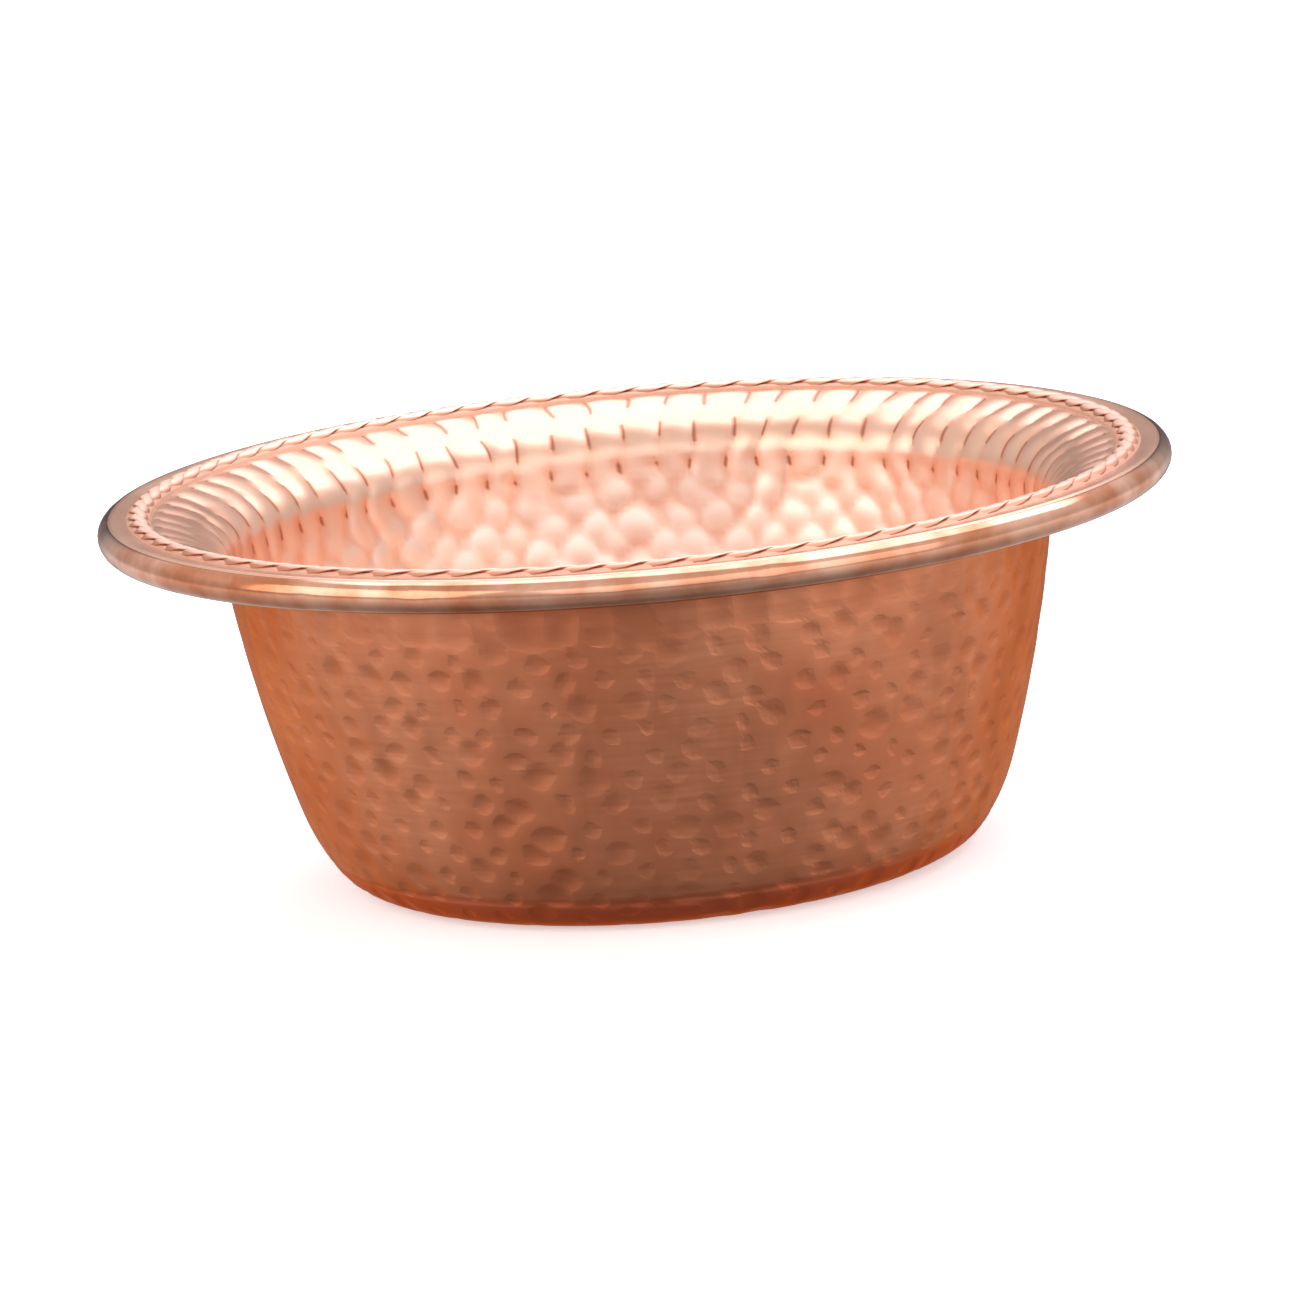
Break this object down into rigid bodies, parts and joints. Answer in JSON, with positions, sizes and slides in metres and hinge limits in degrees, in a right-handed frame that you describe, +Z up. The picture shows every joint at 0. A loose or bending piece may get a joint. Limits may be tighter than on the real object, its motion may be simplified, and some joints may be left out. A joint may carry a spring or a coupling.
{
  "type": "hammered copper bowl",
  "caption": "Round hammered copper bowl with a flat base, bulging wall, flared brim, rolled edge wired with a copper wire, and a twisted rope border on the brim.",
  "frame": {"origin": "centre of the underside of the flat base, on the surface the bowl stands on", "axes": "+Z up along the bowl's axis of revolution, towards the open mouth"},
  "size_m": [0.25, 0.25, 0.0925],
  "materials": {
    "hammered_copper": "satin, hammered, with a polished bead",
    "copper_wire": "drawn wire, dull",
    "rope_copper": "satin, rolled, dark in the grooves",
    "solder": "matt grey solder"
  },
  "bodies": {
    "root": {"bowl_shell": "hammered_copper", "rim_wire": "copper_wire", "rope_strand_a": "rope_copper", "rope_strand_b": "rope_copper", "rope_solder": "solder"}
  },
  "joints": []
}
